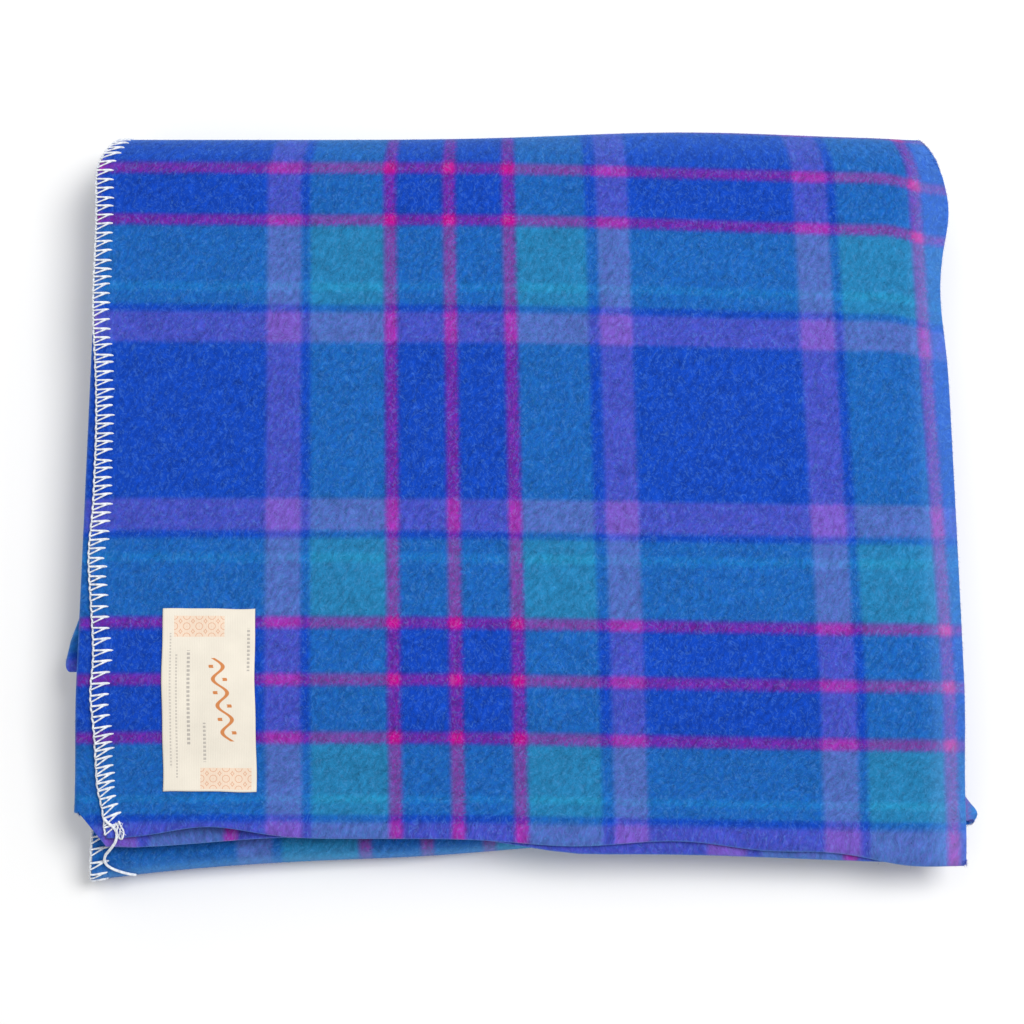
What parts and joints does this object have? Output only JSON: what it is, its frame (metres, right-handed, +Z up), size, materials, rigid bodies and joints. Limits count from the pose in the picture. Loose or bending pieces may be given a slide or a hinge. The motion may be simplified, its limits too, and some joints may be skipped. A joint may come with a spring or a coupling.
{
  "type": "folded plaid wool blanket",
  "caption": "Napped plaid wool blanket, folded into a flat rectangular pack with a thick rounded back fold, whipstitched cut edges and a small sewn label.",
  "frame": {"origin": "middle of the pack's footprint, on the surface that it lies on", "axes": "+X along the front edge towards the side folds, away from the stitched edge; +Y from the open front edge to the thick back fold; +Z up from the surface to the top layer"},
  "size_m": [0.525, 0.4524, 0.0519],
  "materials": {
    "plaid_wool": "napped wool, royal blue with teal, lavender and magenta stripes",
    "label_ribbon": "cream woven ribbon",
    "edge_yarn": "white wool yarn"
  },
  "bodies": {
    "root": {"blanket": "plaid_wool", "label": "label_ribbon", "yarn_tail": "edge_yarn"}
  },
  "joints": []
}
